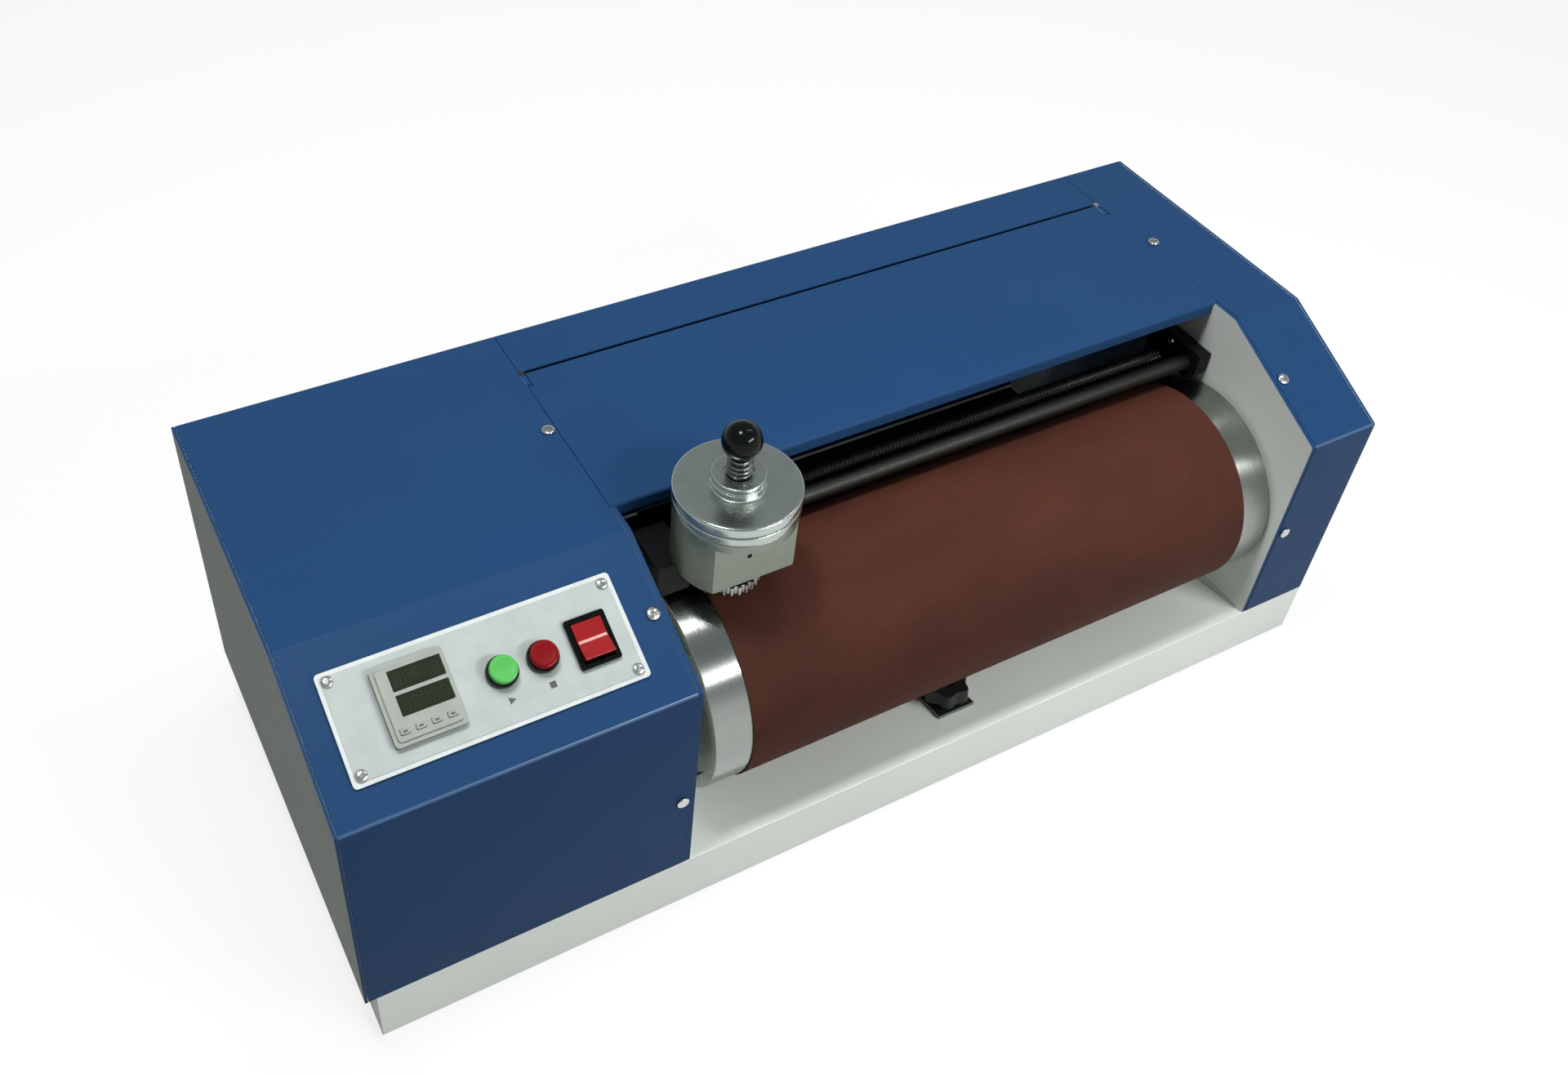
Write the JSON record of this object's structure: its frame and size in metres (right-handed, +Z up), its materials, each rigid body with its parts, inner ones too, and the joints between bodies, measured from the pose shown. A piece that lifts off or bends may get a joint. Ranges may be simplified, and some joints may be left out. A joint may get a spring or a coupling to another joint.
{
  "type": "rotary drum abrasion tester",
  "caption": "Bench-top abrasion tester: cloth-covered drum between two blue sheet-metal housings, traversing sample holder with load weight, hinged lid and sloped control panel.",
  "frame": {"origin": "under the middle of the base, on the surface it stands on", "axes": "+X along the drum towards the narrow right housing, +Y to the back, +Z up"},
  "size_m": [0.76, 0.3028, 0.3377],
  "materials": {
    "blue_paint": "blue powder coat, light orange peel",
    "light_grey_paint": "warm light grey powder coat, satin",
    "aluminium": "turned aluminium",
    "bright_steel": "bright ground steel",
    "dome_screw": "nickel plated",
    "black_metal": "black satin coating",
    "black_plastic": "glossy black plastic",
    "abrasive_cloth": "dark red-brown abrasive cloth",
    "rubber": "black rubber",
    "panel_grey": "light grey panel",
    "counter_plastic": "light grey plastic",
    "display_window": "dark olive display window",
    "key_plastic": "grey keys",
    "green_plastic": "green push button",
    "red_plastic": "red push button and rocker",
    "circuit_board": "green circuit board",
    "bristles": "black nylon bristles"
  },
  "bodies": {
    "housing": {"base_tray": "light_grey_paint", "left_bearing_wall": "light_grey_paint", "right_bearing_wall": "light_grey_paint", "left_cover": "blue_paint", "right_cover": "blue_paint", "left_end_plate": "light_grey_paint", "right_end_plate": "light_grey_paint", "rear_cover": "blue_paint", "lid_hinge_pin_left": "bright_steel", "lid_hinge_pin_right": "bright_steel", "cover_screw_1": "dome_screw", "cover_screw_2": "dome_screw", "cover_screw_3": "dome_screw", "cover_screw_4": "dome_screw", "cover_screw_5": "dome_screw", "cover_screw_6": "dome_screw", "bearing_left": "black_metal", "bearing_right": "black_metal", "gear_motor": "black_metal", "motor_bracket": "bright_steel", "drive_belt": "rubber", "screw_belt": "rubber", "guide_rod": "bright_steel", "rod_support_left": "black_metal", "rod_support_right": "black_metal", "panel_plate": "panel_grey", "counter_case": "counter_plastic", "counter_window_upper": "display_window", "counter_window_lower": "display_window", "start_button_body": "bright_steel", "stop_button_body": "bright_steel", "rocker_bezel": "black_plastic", "power_inlet": "black_plastic", "control_board": "circuit_board", "brush_bar": "aluminium", "brush_bristles": "bristles"},
    "lid": {"lid": "blue_paint"},
    "drum": {"drum_shell": "aluminium", "abrasive_cloth": "abrasive_cloth", "drum_shaft": "bright_steel", "drum_pulley": "aluminium"},
    "motor_rotor": {"motor_pulley": "aluminium"},
    "screw": {"lead_screw": "bright_steel", "screw_pulley": "aluminium"},
    "carriage": {"carriage": "black_metal"},
    "arm": {"swing_arm": "black_metal", "holder_body": "aluminium", "load_weight": "aluminium"},
    "spindle": {"sample_chuck": "aluminium", "test_piece": "rubber", "spindle": "bright_steel", "ball_knob": "black_plastic"},
    "start_button": {"start_button": "green_plastic"},
    "stop_button": {"stop_button": "red_plastic"},
    "rocker": {"rocker_switch": "red_plastic"},
    "clamp_knob": {"brush_clamp_knob": "black_plastic"},
    "key_1": {"counter_key_1": "key_plastic"},
    "key_2": {"counter_key_2": "key_plastic"},
    "key_3": {"counter_key_3": "key_plastic"},
    "key_4": {"counter_key_4": "key_plastic"}
  },
  "joints": [
    {"name": "drum_spin", "type": "hinge", "parent": "housing", "child": "drum", "pos_m": [-0.1442, -0.066, 0.1275], "axis": [1, 0, 0], "continuous": true},
    {"name": "motor_spin", "type": "hinge", "parent": "housing", "child": "motor_rotor", "pos_m": [-0.2118, 0.06, 0.1], "axis": [1, 0, 0], "continuous": true},
    {"name": "screw_spin", "type": "hinge", "parent": "housing", "child": "screw", "pos_m": [-0.2118, -0.004, 0.19695], "axis": [1, 0, 0], "continuous": true},
    {"name": "carriage_slide", "type": "slide", "parent": "housing", "child": "carriage", "axis": [1, 0, 0], "range_m": [0, 0.36]},
    {"name": "arm_lift", "type": "hinge", "parent": "carriage", "child": "arm", "pos_m": [-0.1022, -0.031, 0.21107], "axis": [-1, 0, 0], "range_deg": [0, 14]},
    {"name": "spindle_turn", "type": "hinge", "parent": "arm", "child": "spindle", "pos_m": [-0.1022, -0.072, 0.2339], "axis": [0, 0, 1], "continuous": true},
    {"name": "lid_hinge", "type": "hinge", "parent": "housing", "child": "lid", "pos_m": [0, 0.0975, 0.25707], "axis": [-1, 0, 0], "range_deg": [0, 100]},
    {"name": "start_press", "type": "slide", "parent": "housing", "child": "start_button", "axis": [0, 0.4244, -0.9055], "range_m": [0, 0.0025], "stiffness_N_per_m": 500},
    {"name": "stop_press", "type": "slide", "parent": "housing", "child": "stop_button", "axis": [0, 0.4244, -0.9055], "range_m": [0, 0.0025], "stiffness_N_per_m": 500},
    {"name": "key_press_1", "type": "slide", "parent": "housing", "child": "key_1", "axis": [0, 0.4244, -0.9055], "range_m": [0, 0.0006], "stiffness_N_per_m": 800},
    {"name": "key_press_2", "type": "slide", "parent": "housing", "child": "key_2", "axis": [0, 0.4244, -0.9055], "range_m": [0, 0.0006], "stiffness_N_per_m": 800},
    {"name": "key_press_3", "type": "slide", "parent": "housing", "child": "key_3", "axis": [0, 0.4244, -0.9055], "range_m": [0, 0.0006], "stiffness_N_per_m": 800},
    {"name": "key_press_4", "type": "slide", "parent": "housing", "child": "key_4", "axis": [0, 0.4244, -0.9055], "range_m": [0, 0.0006], "stiffness_N_per_m": 800},
    {"name": "rocker_tip", "type": "hinge", "parent": "housing", "child": "rocker", "pos_m": [-0.2117, -0.10387, 0.2433], "axis": [1, 0, 0], "range_deg": [0, 16]},
    {"name": "clamp_knob_turn", "type": "hinge", "parent": "housing", "child": "clamp_knob", "pos_m": [0.0658, -0.11305, 0.03892], "axis": [0, 0.1789, 0.9839], "range_deg": [0, 360]}
  ],
  "couplings": [
    {"joint": "motor_spin", "follows": "drum_spin", "ratio": 1.8182},
    {"joint": "screw_spin", "follows": "drum_spin", "ratio": 0.825}
  ]
}
